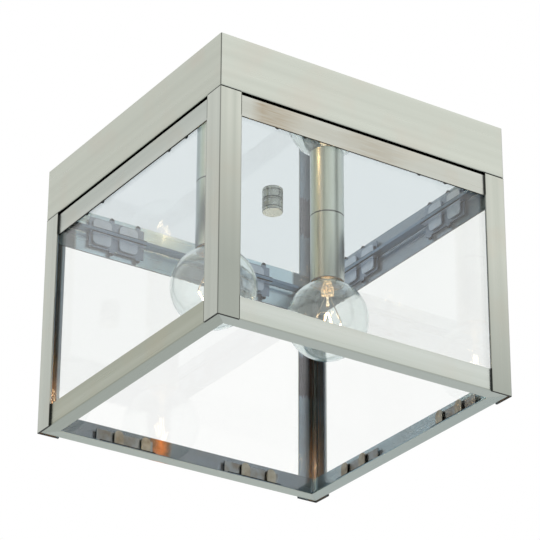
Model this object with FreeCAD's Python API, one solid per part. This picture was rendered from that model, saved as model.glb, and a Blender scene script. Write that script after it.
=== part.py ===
import FreeCAD, Part
import math
import os

# Square outdoor ceiling light: a sheet metal canopy against the ceiling, a mirror
# plate under it, and a cage of angle strips with four glass panes and two lamps.
# Lengths are in millimetres. The ceiling is the plane z = 0 and the light hangs
# below it, centred on the upright axis. The front is the -Y side.

# Canopy
side = 210.0
canopy_height = 35.6
canopy_wall = 1.0
canopy_bend = 0.8

# Mirror plate
mirror_thickness = 1.3
mirror_set_back = 4.0

# Cage posts
cage_height = 149.2
post_leg = 15.0
post_wall = 1.2
post_bend = 0.6
post_joint = 0.4

# Rails: one angle strip, flange up at the top of the cage, flange down at its foot
rail_leg = 14.6
rail_flange = 9.3
rail_wall = 1.0
rail_bend = 0.7
mitre_gap = 0.05
foot_step = 0.4

# Glass panes
glass_thickness = 2.5
glass_to_rail = 0.2
glass_head_room = 0.4
glass_seat = 0.1
glass_edge_gap = 0.3

# Glass clips
clip_wall = 0.8
clip_length = 41.0
clip_height = 9.5
clip_place = 49.0
clip_to_glass = 0.2
clip_to_flange_edge = 0.5
tab_spacing = 19.8
tab_stand = 0.9
pad_width = 13.6
pad_drop = 8.0
pad_corner = 3.0
pad_shift = 1.8
finger_width = 3.4
finger_drop = 12.6
finger_offset = 8.0
tongue_width = 6.6
tongue_rise = 10.8
tongue_shift = 4.8

# Cage studs and nuts
stud_radius = 2.0
stud_hole_play = 0.25
stud_length = 9.5
stud_inset = 6.5
stud_nut_flats = 7.0
stud_nut_height = 3.2
nut_play = 0.1

# Crossbar on the ceiling outlet box
bar_end = 5.15
bar_width = 19.0
bar_thickness = 1.5
bar_drop = 8.0
bar_web = 42.0
bar_bend = 1.0
box_screw_spacing = 79.4
slot_length = 14.3
slot_width = 4.8

# Centre rod, lock nut, washer and knob
rod_radius = 3.1
rod_thread_depth = 0.45
rod_pitch = 1.27
rod_play = 0.15
rod_hole_radius = 3.6
rod_top_gap = 1.5
rod_end_gap = 0.4
rod_nut_flats = 11.1
rod_nut_height = 5.5
washer_radius = 6.2
washer_thickness = 0.5
knob_radius = 6.6
knob_height = 7.8
knob_cap = 1.2
knob_chamfer = 0.4
knob_rim = 2.1
knob_groove = 0.4
knob_groove_depth = 0.35
knurl_depth = 0.22
knurl_band = 0.8
knurl_count = 44

# Lamp tubes
lamp_offset = 42.0
tube_radius = 11.0
tube_wall = 0.8
tube_top = 1.0

# Threaded nipple and its nuts
nipple_radius = 4.85
nipple_thread_depth = 0.35
nipple_pitch = 0.94
nipple_bore = 3.5
nipple_play = 0.12
nipple_above_nut = 1.2
nipple_below_strap = 1.5
nipple_nut_flats = 14.0
nipple_nut_height = 3.5

# Lampholder and the strap that carries it
holder_radius = 8.25
holder_length = 27.0
holder_recess = 5.0
holder_back = 7.5
holder_chamfer = 0.6
holder_lead_hole = 1.15
strap_thickness = 0.9
strap_play = 0.1
strap_arm_width = 7.0
strap_arm_overlap = 9.0
strap_disc_radius = 8.0
strap_gap = 4.0
strap_below_nut = 5.7
rivet_radius = 1.1
rivet_head_radius = 1.9
rivet_head = 0.6
rivet_depth = 1.0
rivet_play = 0.05
rivet_drop = 5.5

# Brass screw shell and centre contact in the lampholder
shell_wall = 0.35
shell_play = 0.1
shell_ripple = 0.4
shell_inset = 0.7
leaf_thickness = 0.5
leaf_width = 4.0
leaf_foot = 2.6
leaf_reach = 5.0
leaf_nose = 2.4

# Bulb
globe_radius = 26.2
globe_below_neck = 5.8
globe_wall = 0.7
neck_fillet = 7.0
cap_radius = 5.95
cap_height = 12.5
cap_below_holder = 1.5
cap_pitch = 2.54
cap_ripple = 0.55
cap_wall = 0.5
cap_skirt = 1.6
cap_glass_gap = 0.1
insulator_height = 2.0
insulator_tip_radius = 2.7
tip_radius = 2.3
tip_height = 1.0
tip_bend = 0.5
contact_gap = 0.1
flare_play = 0.2
flare_thickness = 1.0
stem_radius = 2.3
stem_length = 8.0
press_width = 8.0
press_thickness = 2.6
press_height = 7.5
press_corner = 1.0
arbor_radius = 0.7
arbor_length = 5.0
button_radius = 1.2
button_height = 1.6
wire_radius = 0.35
wire_place = 1.9
wire_seat = 0.05
wire_root = 1.2
wire_spread = 8.4
wire_drop = 17.2
hook_radius = 0.2
hook_place = 0.75
hook_spread = 0.55
hook_past = 0.9
filament_radius = 0.4
filament_gap = 0.6
filament_bend = 0.5
filament_rise = 7.6
filament_fall = 6.6
filament_valley = 4.4
filament_turn = -33.0

# Leads, connectors and ground wire inside the canopy
lead_radius = 1.0
lead_pair = 1.35
lead_arch = 21.6
lead_side = 16.0
lead_inward = 13.0
lead_down_x = 12.0
lead_down_y = 22.0
lead_entry = 30.0
lead_end = 40.0
lead_grip = 1.05
connector_mouth = 34.0
connector_radius = 5.4
connector_tip_radius = 3.4
connector_length = 22.0
connector_bore = 2.6
connector_bore_depth = 12.0
connector_seat = 0.2
screw_radius = 1.6
screw_head_radius = 3.4
screw_head = 2.0
screw_play = 0.1
screw_above_web = 1.5
ground_wire_radius = 0.7
ground_wire_play = 0.1
ground_screw_x = 13.0
ground_screw_y = 68.0
ground_wire_start = 4.0
ground_wire_fall = 34.0
ground_wire_land = 54.0
ground_wire_end = 76.0
bend_share = 0.45

# One overrun for every cut that runs out of a face, and how near an edge is picked
overrun = 1.0
pick_near = 0.01

# Planes and faces that several pieces share
half = side / 2
floor_low = -canopy_height
floor_high = floor_low + canopy_wall
mirror_low = floor_low - mirror_thickness
cage_low = floor_low - cage_height
rail_face = half - post_wall
rail_inner = rail_face - rail_wall
flange_edge = rail_face - rail_flange
top_flange_low = mirror_low - rail_wall
foot_low = cage_low + foot_step
foot_high = foot_low + rail_wall
glass_outer = rail_inner - glass_to_rail
glass_inner = glass_outer - glass_thickness
clip_outer = glass_inner - clip_to_glass
clip_inner = clip_outer - clip_wall
clip_edge = flange_edge + clip_to_flange_edge
tab_outer = clip_inner - tab_stand
tab_inner = tab_outer - clip_wall
stud_place = half - stud_inset
web_high = -bar_drop
web_low = web_high - bar_thickness
washer_low = mirror_low - washer_thickness
knob_low = washer_low - knob_height
rod_low = knob_low + knob_cap + rod_end_gap
tube_bore = tube_radius - tube_wall
tube_face = mirror_low - tube_top
tube_nut_low = tube_face - nipple_nut_height
strap_high = tube_nut_low - strap_below_nut
strap_low = strap_high - strap_thickness
holder_high = strap_low - strap_gap
holder_floor = holder_high - holder_back
holder_low = holder_high - holder_length
tube_low = holder_low - holder_recess
nipple_low = strap_low - nipple_below_strap
nipple_high = floor_high + nipple_nut_height + nipple_above_nut
shell_outer = cap_radius + shell_play + shell_ripple + shell_wall
cap_low = holder_low + cap_below_holder
cap_high = cap_low + cap_height
tip_high = cap_high + insulator_height + tip_height
neck_high = cap_low - cap_glass_gap
globe_centre = neck_high - globe_below_neck - globe_radius
press_high = neck_high - stem_length
press_low = press_high - press_height
button_high = press_low - arbor_length
button_low = button_high - button_height
wire_low = press_low - wire_seat - wire_root - wire_drop
filament_end = wire_low - filament_gap
filament_high = filament_end + filament_rise
filament_low = filament_end - filament_fall
lead_height = floor_high + connector_radius + connector_seat

SIDES = ("front", "right", "back", "left")
CORNERS = ("front_left", "front_right", "back_right", "back_left")
LAMPS = (("left", -1), ("right", 1))

# For each side: the hand of its clips, and their two places as shares of clip_place
top_clip_shares = {"front": (1, -1.19, 0.94), "right": (1, -1.01, 0.93),
                   "back": (-1, -0.86, 1.11), "left": (1, -1.12, 0.91)}
foot_clip_shares = {"front": (-1, -1, 1), "right": (1, -1.14, 0.96),
                    "back": (-1, -1.02, 0.925), "left": (1, -1, 1)}


def around(names):
    """Each name with its turn in degrees, evenly spaced about the upright axis."""
    return [(name, 360 * place / len(names)) for place, name in enumerate(names)]


def point(x, y, z):
    """A place in space."""
    return FreeCAD.Vector(x, y, z)


def block(x_low, x_high, y_low, y_high, z_low, z_high):
    """A plain block between two corners."""
    corner = point(x_low, y_low, z_low)
    return Part.makeBox(x_high - x_low, y_high - y_low, z_high - z_low, corner)


def bar(radius, z_low, z_high, x=0, y=0):
    """An upright round bar."""
    return Part.makeCylinder(radius, z_high - z_low, point(x, y, z_low))


def sleeve(outer, inner, z_low, z_high, x=0, y=0):
    """An upright round bar with a bore right through."""
    bore = bar(inner, z_low - overrun, z_high + overrun, x, y)
    return bar(outer, z_low, z_high, x, y).cut(bore)


def prism(points, direction):
    """A flat outline, given as points, pushed along a direction."""
    outline = Part.makePolygon(points + points[:1])
    return Part.Face(outline).extrude(direction)


def hexagon(flats, z_low, z_high, x=0, y=0):
    """An upright hexagonal bar, sized across its flats."""
    reach = flats / 2 / math.cos(math.pi / 6)
    points = []
    for step in range(6):
        angle = step * math.pi / 3
        points.append(point(x + reach * math.cos(angle), y + reach * math.sin(angle), z_low))
    return prism(points, point(0, 0, z_high - z_low))


def nut(flats, bore, z_low, z_high, x=0, y=0):
    """A hexagonal nut."""
    hole = bar(bore, z_low - overrun, z_high + overrun, x, y)
    return hexagon(flats, z_low, z_high, x, y).cut(hole)


def line(start, end):
    """A straight edge between two (radius, height) places."""
    return Part.LineSegment(point(start[0], 0, start[1]), point(end[0], 0, end[1])).toShape()


def arc(start, middle, end):
    """A round edge through three (radius, height) places."""
    places = [point(place[0], 0, place[1]) for place in (start, middle, end)]
    return Part.Arc(*places).toShape()


def turned(edges):
    """A solid turned about the upright axis from a closed outline of edges."""
    face = Part.Face(Part.Wire(edges))
    return face.revolve(point(0, 0, 0), point(0, 0, 1), 360)


def turned_outline(places):
    """A solid turned about the upright axis from straight (radius, height) runs."""
    return turned([line(a, b) for a, b in zip(places, places[1:] + places[:1])])


def thread_side(crest, root, pitch, z_low, z_high):
    """The (radius, height) places down one side of a thread drawn as even ridges."""
    turns = max(1, round((z_high - z_low) / pitch))
    step = (z_high - z_low) / turns
    places = [(root, z_low)]
    for turn in range(turns):
        places.append((crest, z_low + (turn + 0.5) * step))
        places.append((root, z_low + (turn + 1) * step))
    return places


def threaded_bar(crest, depth, bore, pitch, z_low, z_high):
    """A bar with ridges outside, solid or with a bore."""
    places = thread_side(crest, crest - depth, pitch, z_low, z_high)
    return turned_outline([(bore, z_low)] + places + [(bore, z_high)])


def turned_copy(shape, degrees):
    """A copy turned about the upright axis."""
    copy = shape.copy()
    copy.rotate(point(0, 0, 0), point(0, 0, 1), degrees)
    return copy


def moved_copy(shape, x):
    """A copy moved along X."""
    copy = shape.copy()
    copy.translate(point(x, 0, 0))
    return copy


def round_wire(points, radius, name):
    """A round wire on straight runs joined by the largest arcs that they take."""
    edges = []
    start = points[0]
    for before, corner, after in zip(points, points[1:], points[2:]):
        back = before - corner
        ahead = after - corner
        reach = bend_share * min(back.Length, ahead.Length)
        half_turn = (math.pi - back.getAngle(ahead)) / 2
        bend = reach / math.tan(half_turn)
        back.normalize()
        ahead.normalize()
        enter = corner + back * reach
        leave = corner + ahead * reach
        inward = (back + ahead).normalize()
        middle = corner + inward * (bend / math.cos(half_turn) - bend)
        edges.append(Part.LineSegment(start, enter).toShape())
        edges.append(Part.Arc(enter, middle, leave).toShape())
        start = leave
        print(name, "bend radius", round(bend, 2))
    edges.append(Part.LineSegment(start, points[-1]).toShape())
    path = Part.Wire(edges)
    circle = Part.makeCircle(radius, points[0], points[1] - points[0])
    tube = path.makePipeShell([Part.Wire([circle])], True, False)
    share = tube.Volume / (math.pi * radius ** 2 * path.Length)
    print(name, "length", round(path.Length, 1), "volume share", round(share, 4))
    return tube


def save(name, solids):
    """Write one node, made of one solid or of a group of separate solids."""
    shape = solids[0] if len(solids) == 1 else Part.makeCompound(solids)
    for solid in shape.Solids:
        if not solid.isValid():
            print("not valid:", name)
    shape.exportStep("parts/" + name + ".step")


def canopy_pan():
    """Folded square pan, open to the ceiling, its floor pierced for the fixings."""
    pan = block(-half, half, -half, half, floor_low, 0)
    pan = pan.makeFillet(canopy_bend, [edge for edge in pan.Edges if edge.CenterOfMass.z < 0])
    inner = half - canopy_wall
    pan = pan.cut(block(-inner, inner, -inner, inner, floor_high, overrun))
    return pan.cut(fixing_holes(floor_high)).cut(ground_hole())


def fixing_holes(top):
    """Bars that cut the rod, nipple and stud holes through floor and plate."""
    low = mirror_low - overrun
    high = top + overrun
    holes = [bar(rod_hole_radius, low, high)]
    for name, sign in LAMPS:
        holes.append(bar(nipple_radius + nipple_play, low, high, sign * lamp_offset))
    for name, degrees in around(SIDES):
        hole = bar(stud_radius + stud_hole_play, low, high, 0, -stud_place)
        holes.append(turned_copy(hole, degrees))
    return Part.makeCompound(holes)


def ground_hole():
    """Bar that cuts the hole of the ground screw in the pan's floor."""
    radius = screw_radius + screw_play
    return bar(radius, floor_low - overrun, floor_high + overrun, ground_screw_x, ground_screw_y)


def mirror_plate():
    """Polished square plate between the canopy and the cage."""
    reach = half - mirror_set_back
    plate = block(-reach, reach, -reach, reach, mirror_low, floor_low)
    return plate.cut(fixing_holes(floor_low))


def corner_post():
    """Angle strip at the front left corner, from under the canopy to the foot."""
    high = floor_low - post_joint
    wide = block(-half, post_leg - half, -half, post_wall - half, cage_low, high)
    deep = block(-half, post_wall - half, -half, post_leg - half, cage_low, high)
    post = wide.fuse(deep).removeSplitter()
    corner = [edge for edge in post.Edges if is_upright_at(edge, -half, -half)]
    return post.makeFillet(post_bend, corner)


def is_upright_at(edge, x, y):
    """True for the upright edge through one place in plan."""
    centre = edge.CenterOfMass
    return abs(centre.x - x) < pick_near and abs(centre.y - y) < pick_near


def angle_rail(bend_height, upward):
    """Front angle rail: leg against the posts, flange at bend_height, mitred ends."""
    y_leg = -rail_face
    z_leg = bend_height + upward * rail_leg
    z_flange = bend_height + upward * rail_wall
    z_bend = bend_height + upward * rail_bend
    places = [(y_leg, z_bend), (y_leg, z_leg), (y_leg + rail_wall, z_leg),
              (y_leg + rail_wall, z_flange), (-flange_edge, z_flange),
              (-flange_edge, bend_height), (y_leg + rail_bend, bend_height)]
    points = [point(-half, y, z) for y, z in places]
    edges = [Part.LineSegment(a, b).toShape() for a, b in zip(points, points[1:])]
    in_share = 1 - math.sqrt(0.5)
    middle = point(-half, y_leg + in_share * rail_bend, bend_height + upward * in_share * rail_bend)
    edges.append(Part.Arc(points[-1], middle, points[0]).toShape())
    strip = Part.Face(Part.Wire(edges)).extrude(point(side, 0, 0))
    return strip.common(mitre_wedge())


def mitre_wedge():
    """Triangle in plan that ends a front rail at 45 degrees with its neighbours."""
    low = cage_low - overrun
    points = [point(0, -mitre_gap, low), point(-half, -half - mitre_gap, low),
              point(half, -half - mitre_gap, low)]
    return prism(points, point(0, 0, overrun - low))


def glass_pane():
    """Front pane, standing on the foot flange behind the rails."""
    reach = glass_inner - glass_edge_gap
    low = foot_high + glass_seat
    high = top_flange_low - glass_head_room
    return block(-reach, reach, -glass_outer, -glass_inner, low, high)


def top_clip(hand):
    """Clip under the top flange: an angle strip with two wide pads and two narrow fingers."""
    reach = clip_length / 2
    clip = block(-reach, reach, -clip_outer, -clip_edge, top_flange_low - clip_wall, top_flange_low)
    wall = block(-reach, reach, -clip_outer, -clip_inner, top_flange_low - clip_height, top_flange_low)
    clip = clip.fuse(wall)
    for sign in (-1, 1):
        centre = sign * tab_spacing / 2 - hand * pad_shift
        clip = clip.fuse(pad(centre)).fuse(finger(centre + hand * finger_offset))
    return clip.removeSplitter()


def pad(centre):
    """Wide rounded tab before the strip, pressed out of it."""
    low = top_flange_low - pad_drop
    tab = block(centre - pad_width / 2, centre + pad_width / 2, -tab_outer, -tab_inner,
                low, top_flange_low)
    corners = [edge for edge in tab.Edges if edge.CenterOfMass.z < low + pick_near
               and abs(edge.CenterOfMass.x - centre) > pad_width / 4]
    return tab.makeFillet(pad_corner, corners)


def finger(centre):
    """Narrow tab with a round tip, under the strip's lower edge."""
    radius = finger_width / 2
    low = top_flange_low - finger_drop + radius
    shank = block(centre - radius, centre + radius, -clip_outer, -clip_inner, low, top_flange_low)
    return shank.fuse(round_tip(centre, clip_outer, low, radius))


def round_tip(centre, outer, height, radius):
    """Flat round disc that ends a tab, in the tab's own sheet."""
    return Part.makeCylinder(radius, clip_wall, point(centre, -outer, height), point(0, 1, 0))


def bottom_clip(hand):
    """Clip on the foot flange: an angle strip with two upright tongues before it."""
    reach = clip_length / 2
    clip = block(-reach, reach, -clip_outer, -clip_edge, foot_high, foot_high + clip_wall)
    clip = clip.fuse(block(-reach, reach, -clip_outer, -clip_inner, foot_high, foot_high + clip_height))
    for sign in (-1, 1):
        clip = clip.fuse(tongue(sign * tab_spacing / 2 + hand * tongue_shift))
    return clip.removeSplitter()


def tongue(centre):
    """Upright tab with a round top that holds the foot of the pane."""
    radius = tongue_width / 2
    high = foot_high + tongue_rise - radius
    shank = block(centre - radius, centre + radius, -tab_outer, -tab_inner, foot_high, high)
    return shank.fuse(round_tip(centre, tab_outer, high, radius))


def two_clips_a_side(clip, shares):
    """Eight clips, two on each side of the cage, by each side's hand and its two places."""
    clips = []
    for name, degrees in around(SIDES):
        hand, *places = shares[name]
        for place in places:
            clips.append(turned_copy(moved_copy(clip(hand), place * clip_place), degrees))
    return clips


def cage_studs():
    """Four studs welded upright on the middles of the top flanges."""
    stud = bar(stud_radius, mirror_low, mirror_low + stud_length, 0, -stud_place)
    return [turned_copy(stud, degrees) for name, degrees in around(SIDES)]


def cage_nuts():
    """Four nuts that hold the cage and the mirror plate up to the canopy."""
    bore = stud_radius + nut_play
    piece = nut(stud_nut_flats, bore, floor_high, floor_high + stud_nut_height, 0, -stud_place)
    return [turned_copy(piece, degrees) for name, degrees in around(SIDES)]


def crossbar():
    """Formed strap on the outlet box, with slotted feet and a dropped middle."""
    end = (box_screw_spacing + slot_length) / 2 + bar_end
    web = bar_web / 2
    outer = web + bar_thickness
    places = [(-end, 0), (-web, 0), (-web, web_high), (web, web_high), (web, 0), (end, 0),
              (end, -bar_thickness), (outer, -bar_thickness), (outer, web_low), (-outer, web_low),
              (-outer, -bar_thickness), (-end, -bar_thickness)]
    points = [point(x, -bar_width / 2, z) for x, z in places]
    strap = prism(points, point(0, bar_width, 0))
    outside_bend = bar_bend + bar_thickness
    for x, z, bend in ((web, 0, outside_bend), (outer, -bar_thickness, bar_bend),
                       (web, web_high, bar_bend), (outer, web_low, outside_bend)):
        strap = strap.makeFillet(bend, [edge for edge in strap.Edges if is_across_at(edge, x, z)])
    for sign in (-1, 1):
        strap = strap.cut(slot(sign * box_screw_spacing / 2))
    strap = strap.cut(bar(rod_radius + rod_play, web_low - overrun, web_high + overrun))
    screw_hole = screw_radius + screw_play
    return strap.cut(bar(screw_hole, web_low - overrun, web_high + overrun, ground_screw_x))


def is_across_at(edge, x, z):
    """True for the edges across the strap at one height, this far out on either side."""
    centre = edge.CenterOfMass
    return (abs(abs(centre.x) - x) < pick_near and abs(centre.z - z) < pick_near
            and abs(centre.y) < pick_near)


def slot(centre):
    """Long hole for one outlet box screw."""
    radius = slot_width / 2
    reach = slot_length / 2 - radius
    low = -bar_thickness - overrun
    hole = block(centre - reach, centre + reach, -radius, radius, low, overrun)
    for sign in (-1, 1):
        hole = hole.fuse(bar(radius, low, overrun, centre + sign * reach))
    return hole


def centre_rod():
    """Threaded rod from the crossbar down into the knob."""
    return threaded_bar(rod_radius, rod_thread_depth, 0, rod_pitch, rod_low, -rod_top_gap)


def rod_nut():
    """Lock nut on the crossbar's web."""
    return nut(rod_nut_flats, rod_radius + rod_play, web_high, web_high + rod_nut_height)


def knob_washer():
    """Thin washer between the knob and the mirror plate."""
    return sleeve(washer_radius, rod_radius + rod_play, washer_low, mirror_low)


def knob():
    """Round nut turned by hand: plain rim, groove, band of straight knurling, blind bore."""
    rim_high = knob_low + knob_rim
    band_low = rim_high + knob_groove
    band_high = washer_low - knurl_band
    root = knob_radius - knurl_depth
    groove = knob_radius - knob_groove_depth
    points = []
    for step in range(2 * knurl_count):
        angle = step * math.pi / knurl_count
        radius = knob_radius if step % 2 else root
        points.append(point(radius * math.cos(angle), radius * math.sin(angle), band_low))
    body = prism(points, point(0, 0, band_high - band_low))
    foot = turned_outline([(0, knob_low), (knob_radius - knob_chamfer, knob_low),
                           (knob_radius, knob_low + knob_chamfer), (knob_radius, rim_high),
                           (groove, rim_high), (groove, band_low), (0, band_low)])
    head = bar(knob_radius, band_high, washer_low)
    bore = bar(rod_radius + rod_play, knob_low + knob_cap, washer_low + overrun)
    return body.fuse(foot).fuse(head).cut(bore)


def ground_screws():
    """Two green screws, one up through the crossbar and one down in the pan's floor."""
    gap = 2 * (ground_wire_radius + ground_wire_play)
    bar_head = web_low - gap
    upper = bar(screw_radius, bar_head, web_high + screw_above_web, ground_screw_x)
    upper = upper.fuse(bar(screw_head_radius, bar_head - screw_head, bar_head, ground_screw_x))
    pan_head = floor_high + gap
    lower = bar(screw_radius, floor_low, pan_head, ground_screw_x, ground_screw_y)
    head = bar(screw_head_radius, pan_head, pan_head + screw_head, ground_screw_x, ground_screw_y)
    return [upper, lower.fuse(head)]


def ground_wire():
    """Bare wire under both ground screws, in one upright plane."""
    x = ground_screw_x + screw_radius + ground_wire_radius + ground_wire_play
    high = web_low - ground_wire_radius - ground_wire_play
    low = floor_high + ground_wire_radius + ground_wire_play
    points = [point(x, -ground_wire_start, high), point(x, ground_wire_fall, high),
              point(x, ground_wire_land, low), point(x, ground_wire_end, low)]
    return round_wire(points, ground_wire_radius, "ground wire")


def lamp_tube():
    """Round cover over a lampholder, closed at the top round its nipple."""
    tube = bar(tube_radius, tube_low, mirror_low)
    tube = tube.cut(bar(tube_bore, tube_low - overrun, tube_face))
    return tube.cut(bar(nipple_radius + nipple_play, tube_low, mirror_low + overrun))


def nipple():
    """Hollow threaded tube from inside the canopy down to the lampholder strap."""
    return threaded_bar(nipple_radius, nipple_thread_depth, nipple_bore, nipple_pitch,
                        nipple_low, nipple_high)


def nipple_nuts():
    """Two nuts on a nipple: one on the canopy floor, one inside the lamp tube."""
    bore = nipple_radius + nipple_play
    upper = nut(nipple_nut_flats, bore, floor_high, floor_high + nipple_nut_height)
    return [upper, nut(nipple_nut_flats, bore, tube_nut_low, tube_face)]


def holder_strap():
    """Disc threaded on the nipple, with two arms down the sides of the lampholder."""
    inner = holder_radius + strap_play
    outer = inner + strap_thickness
    reach = strap_arm_width / 2
    strap = bar(strap_disc_radius, strap_low, strap_high)
    strap = strap.fuse(block(-reach, reach, -outer, outer, strap_low, strap_high))
    arm_low = holder_high - strap_arm_overlap
    for sign in (-1, 1):
        y_low = min(sign * inner, sign * outer)
        strap = strap.fuse(block(-reach, reach, y_low, y_low + strap_thickness, arm_low, strap_high))
    hole = bar(nipple_radius + nipple_play, strap_low - overrun, strap_high + overrun)
    strap = strap.removeSplitter().cut(hole)
    return strap.cut(rivet_bar(rivet_radius + rivet_play, outer + overrun))


def rivet_bar(radius, reach):
    """Bar across the lampholder, through both rivet places."""
    height = holder_high - rivet_drop
    return Part.makeCylinder(radius, 2 * reach, point(0, -reach, height), point(0, 1, 0))


def holder_rivets():
    """Two rivets that fasten the strap's arms to the lampholder."""
    face = holder_radius + strap_play + strap_thickness
    height = holder_high - rivet_drop
    start = holder_radius - rivet_depth
    rivets = []
    for sign in (-1, 1):
        outward = point(0, sign, 0)
        shank = Part.makeCylinder(rivet_radius, face - start, point(0, sign * start, height), outward)
        head = Part.makeCylinder(rivet_head_radius, rivet_head, point(0, sign * face, height), outward)
        rivets.append(shank.fuse(head))
    return rivets


def lampholder():
    """Moulded body, open at the foot for the screw shell, with two lead holes."""
    body = turned_outline([(0, holder_low), (holder_radius - holder_chamfer, holder_low),
                           (holder_radius, holder_low + holder_chamfer),
                           (holder_radius, holder_high - holder_chamfer),
                           (holder_radius - holder_chamfer, holder_high), (0, holder_high)])
    body = body.cut(bar(shell_outer + shell_play, holder_low - overrun, holder_floor))
    for sign in (-1, 1):
        body = body.cut(bar(holder_lead_hole, holder_floor - overrun, holder_high + overrun,
                            sign * lead_pair))
    rivet_hole = rivet_bar(rivet_radius + rivet_play, holder_radius + overrun)
    core = holder_radius - rivet_depth - rivet_play
    return body.cut(rivet_hole.cut(bar(core, holder_low, holder_high)))


def screw_shell():
    """Thin brass sleeve with rolled ridges that takes the bulb's cap."""
    low = holder_low + shell_inset
    high = holder_floor - shell_inset
    inner_root = shell_outer - shell_wall
    inner = thread_side(inner_root, inner_root - shell_ripple, cap_pitch, low, high)
    outer = [(radius + shell_wall, height) for radius, height in reversed(inner)]
    return turned_outline(inner + outer)


def centre_contact():
    """Bent brass leaf between the lampholder's floor and the bulb's tip."""
    nose = tip_high + contact_gap
    foot = holder_floor
    width = leaf_width / 2
    places = [(-leaf_reach, foot), (-leaf_reach + leaf_foot, foot),
              (-leaf_nose / 2, nose + leaf_thickness), (leaf_nose / 2, nose + leaf_thickness),
              (leaf_nose / 2, nose), (-leaf_nose / 2 - leaf_thickness / 2, nose),
              (-leaf_reach + leaf_foot - leaf_thickness / 2, foot - leaf_thickness),
              (-leaf_reach, foot - leaf_thickness)]
    return prism([point(x, -width, z) for x, z in places], point(0, leaf_width, 0))


def bulb_cap():
    """Threaded metal cap of the bulb, hollow, with a hole in its end."""
    root = cap_radius - cap_ripple
    bore = root - cap_wall
    ridges = thread_side(cap_radius, root, cap_pitch, cap_low + cap_skirt, cap_high)
    outline = [(bore, cap_low), (cap_radius, cap_low), (cap_radius, cap_low + cap_skirt)]
    outline += ridges
    outline += [(insulator_tip_radius, cap_high), (insulator_tip_radius, cap_high - cap_wall),
                (bore, cap_high - cap_wall)]
    return turned_outline(outline)


def bulb_insulator():
    """Black glass cone on the end of the cap."""
    base = cap_radius - cap_ripple
    high = cap_high + insulator_height
    return turned_outline([(0, cap_high), (base, cap_high), (insulator_tip_radius, high), (0, high)])


def bulb_contact():
    """Solder tip on the insulator."""
    tip = bar(tip_radius, cap_high + insulator_height, tip_high)
    top = [edge for edge in tip.Edges if edge.CenterOfMass.z > tip_high - tip_bend]
    return tip.makeFillet(tip_bend, top)


def globe_side(grow):
    """Neck, fillet and globe edges down to the pole, with all faces moved out by grow."""
    neck = cap_radius + grow
    radius = globe_radius + grow
    fillet = neck_fillet - grow
    centre_r = cap_radius + neck_fillet
    reach = globe_radius + neck_fillet
    rise = math.sqrt(reach ** 2 - centre_r ** 2)
    fillet_z = rise + globe_centre
    lean = math.atan2(centre_r, rise)
    join = (radius * math.sin(lean), radius * math.cos(lean) + globe_centre)
    turn = (lean + math.pi / 2) / 2
    fillet_middle = (centre_r - fillet * math.sin(turn), fillet_z - fillet * math.cos(turn))
    wide = (lean + math.pi) / 2
    globe_middle = (radius * math.sin(wide), radius * math.cos(wide) + globe_centre)
    pole = (0, globe_centre - radius)
    top = (neck, neck_high)
    edges = [line(top, (neck, fillet_z)), arc((neck, fillet_z), fillet_middle, join),
             arc(join, globe_middle, pole)]
    return edges, top, pole


def bulb_glass():
    """Clear round bulb blown in one piece with its neck."""
    outside, outer_top, outer_pole = globe_side(0)
    inside, inner_top, inner_pole = globe_side(-globe_wall)
    bottom = [line(outer_pole, inner_pole)]
    return turned(outside + bottom + inside[::-1] + [line(inner_top, outer_top)])


def bulb_stem():
    """Glass stem: a flared tube, the flat press round the lead wires, and an arbor under it."""
    flare = cap_radius - globe_wall - flare_play
    neck = neck_high - flare_thickness
    thin = press_thickness / 2
    tube = turned_outline([(0, neck_high), (flare, neck_high), (flare, neck),
                           (stem_radius, neck - stem_radius), (stem_radius, press_high),
                           (thin, press_high - stem_radius), (0, press_high - stem_radius)])
    wide = press_width / 2
    press = block(-wide, wide, -thin, thin, press_low, press_high)
    press = press.makeFillet(press_corner, press.Edges)
    arbor = bar(arbor_radius, button_high, press_low + press_corner)
    button = bar(button_radius, button_low, button_high)
    button = button.makeFillet(button_height / 4, button.Edges[::2])
    return turned_copy(tube.fuse([press, arbor, button]), filament_turn)


def bulb_wires():
    """Two lead wires that fan out to the filament's ends, and the three hooks that shape it."""
    wires = []
    for sign in (-1, 1):
        high = press_low - wire_seat
        root = point(sign * wire_place, 0, high)
        knee = point(sign * wire_place, 0, high - wire_root)
        shoulder = point(sign * wire_spread, 0, wire_low + wire_root)
        end = point(sign * wire_spread, 0, wire_low)
        wires.append(round_wire([root, knee, shoulder, end], wire_radius, "bulb lead wire"))
    high = button_low - wire_seat
    for share, low in ((-1, filament_low), (0, filament_high), (1, filament_low)):
        root = point(share * hook_spread, hook_place, high)
        end = point(share * filament_valley, hook_place, low - hook_past)
        hook = Part.makeCylinder(hook_radius, (end - root).Length, root, end - root)
        wires.append(hook)
    return [turned_copy(wire, filament_turn) for wire in wires]


def bulb_filament():
    """Coiled filament, drawn as its outer round, in a W between the wires and the hooks."""
    valley = filament_valley
    bend = filament_bend
    half_way = [point(wire_spread, 0, filament_end), point(valley + bend, 0, filament_low),
                point(valley - bend, 0, filament_low), point(bend, 0, filament_high)]
    other_way = [point(-place.x, 0, place.z) for place in half_way[::-1]]
    filament = round_wire(half_way + other_way, filament_radius, "filament")
    return turned_copy(filament, filament_turn)


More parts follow.
